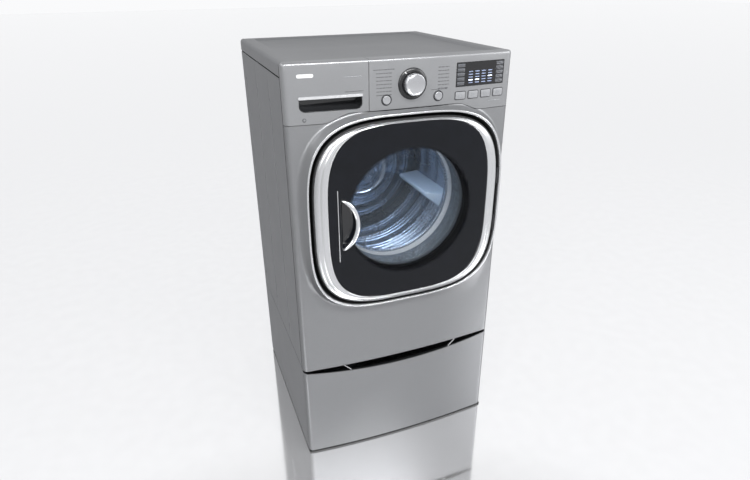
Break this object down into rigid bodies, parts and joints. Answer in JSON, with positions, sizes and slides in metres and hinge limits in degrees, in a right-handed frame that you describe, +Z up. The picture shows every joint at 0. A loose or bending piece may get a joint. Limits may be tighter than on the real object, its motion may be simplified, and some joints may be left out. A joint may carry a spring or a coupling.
{
  "type": "front load washing machine",
  "caption": "Front load washing machine with a smoked glass door, programme knob, dispenser drawer and a matching drawer pedestal.",
  "frame": {"origin": "middle of the bounding box's footprint, on the floor", "axes": "+Z up, the door faces -Y, +X is to the right of someone facing the door"},
  "size_m": [0.686, 0.738, 1.329],
  "materials": {
    "graphite_paint": "satin metallic graphite paint on pressed steel",
    "graphite_plastic": "metallic graphite lacquer on moulded plastic",
    "galvanised": "galvanised sheet steel, matt",
    "silver_ring": "bright satin silver",
    "smoked_cover": "smoked glossy cover",
    "display_glass": "glossy black display window",
    "clear_bowl": "clear moulded glass",
    "dark_plastic": "dark moulded plastic",
    "chrome_trim": "polished chrome",
    "steel": "bright steel",
    "stainless": "stainless drum sheet with a fine brushed grain",
    "lifter_plastic": "pale blue-grey moulded plastic",
    "cast_alloy": "as cast aluminium",
    "grey_rubber": "grey door seal rubber",
    "hose_rubber": "black hose rubber",
    "tub_plastic": "glass filled polypropylene",
    "tray_plastic": "pale moulded plastic",
    "weight_iron": "rough cast balance weights",
    "copper_windings": "lacquered windings on a steel core",
    "rotor_steel": "dark pressed steel",
    "board_green": "circuit board laminate",
    "silver_cap": "silver lacquered plastic"
  },
  "bodies": {
    "cabinet": {"base_frame": "galvanised", "left_side": "graphite_paint", "right_side": "graphite_paint", "rear_panel": "galvanised", "rear_cover": "galvanised", "top_plate": "graphite_paint", "front_panel": "graphite_paint", "top_braces": "galvanised", "control_panel": "graphite_plastic", "display_window": "display_glass", "control_board": "board_green", "dispenser_housing": "tub_plastic", "inlet_valves": "tub_plastic", "drain_pump": "tub_plastic", "drain_hose": "hose_rubber", "power_gland": "dark_plastic", "door_lock": "dark_plastic", "hinge_plates": "rotor_steel", "suspension_springs": "steel", "damper_cylinders": "tub_plastic", "bellows": "grey_rubber", "pedestal_shell": "graphite_paint", "pedestal_bolts": "steel", "pedestal_feet": "dark_plastic", "slide_rails": "galvanised"},
    "tub": {"tub_front": "tub_plastic", "tub_rear": "tub_plastic", "counterweights": "weight_iron", "stator": "copper_windings", "bearing_set": "steel", "damper_rods": "steel"},
    "drum": {"drum_shell": "stainless", "drum_back": "stainless", "lifter_1": "lifter_plastic", "lifter_2": "lifter_plastic", "lifter_3": "lifter_plastic", "drum_spider": "cast_alloy", "drum_shaft": "steel", "rotor": "rotor_steel"},
    "door": {"door_ring": "silver_ring", "door_cover": "smoked_cover", "door_bowl": "clear_bowl", "door_liner": "dark_plastic", "handle_cup": "dark_plastic", "handle_grip": "chrome_trim", "door_hook": "steel", "hinge_leaves": "rotor_steel"},
    "programme_knob": {"programme_knob": "silver_cap"},
    "power_button": {"power_button": "silver_cap"},
    "start_button": {"start_button": "silver_cap"},
    "option_button_1": {"option_button_1": "silver_cap"},
    "option_button_2": {"option_button_2": "silver_cap"},
    "option_button_3": {"option_button_3": "silver_cap"},
    "option_button_4": {"option_button_4": "silver_cap"},
    "dispenser_drawer": {"dispenser_front": "graphite_plastic", "dispenser_tray": "tray_plastic"},
    "pedestal_drawer": {"pedestal_front": "graphite_paint", "pedestal_tray": "galvanised"},
    "slide_members": {"slide_members": "galvanised"}
  },
  "joints": [
    {"name": "tub_float", "type": "slide", "parent": "cabinet", "child": "tub", "axis": [0, 0, 1], "range_m": [-0.008, 0.008], "stiffness_N_per_m": 120000, "springref_m": 0.0052, "deforming": ["suspension_springs", "bellows"]},
    {"name": "drum_spin", "type": "hinge", "parent": "tub", "child": "drum", "pos_m": [0.005, 0, 0.8915], "axis": [0, 1, 0], "continuous": true},
    {"name": "door_hinge", "type": "hinge", "parent": "cabinet", "child": "door", "pos_m": [0.30296, -0.339, 0.8825], "axis": [0, 0, 1], "range_deg": [0, 120]},
    {"name": "dispenser_slide", "type": "slide", "parent": "cabinet", "child": "dispenser_drawer", "axis": [0, -1, 0], "range_m": [0, 0.22]},
    {"name": "knob_turn", "type": "hinge", "parent": "cabinet", "child": "programme_knob", "pos_m": [0.016, -0.303, 1.258], "axis": [0, -1, 0], "continuous": true},
    {"name": "power_press", "type": "slide", "parent": "cabinet", "child": "power_button", "axis": [0, 1, 0], "range_m": [0, 0.0015], "stiffness_N_per_m": 400, "springref_m": -0.003},
    {"name": "start_press", "type": "slide", "parent": "cabinet", "child": "start_button", "axis": [0, 1, 0], "range_m": [0, 0.0015], "stiffness_N_per_m": 400, "springref_m": -0.003},
    {"name": "option_press_1", "type": "slide", "parent": "cabinet", "child": "option_button_1", "axis": [0, 1, 0], "range_m": [0, 0.001], "stiffness_N_per_m": 400, "springref_m": -0.003},
    {"name": "option_press_2", "type": "slide", "parent": "cabinet", "child": "option_button_2", "axis": [0, 1, 0], "range_m": [0, 0.001], "stiffness_N_per_m": 400, "springref_m": -0.003},
    {"name": "option_press_3", "type": "slide", "parent": "cabinet", "child": "option_button_3", "axis": [0, 1, 0], "range_m": [0, 0.001], "stiffness_N_per_m": 400, "springref_m": -0.003},
    {"name": "option_press_4", "type": "slide", "parent": "cabinet", "child": "option_button_4", "axis": [0, 1, 0], "range_m": [0, 0.001], "stiffness_N_per_m": 400, "springref_m": -0.003},
    {"name": "pedestal_slide", "type": "slide", "parent": "cabinet", "child": "pedestal_drawer", "axis": [0, -1, 0], "range_m": [0, 0.42]},
    {"name": "member_slide", "type": "slide", "parent": "cabinet", "child": "slide_members", "axis": [0, -1, 0], "range_m": [0, 0.21]}
  ],
  "couplings": [
    {"joint": "member_slide", "follows": "pedestal_slide", "ratio": 0.5}
  ]
}
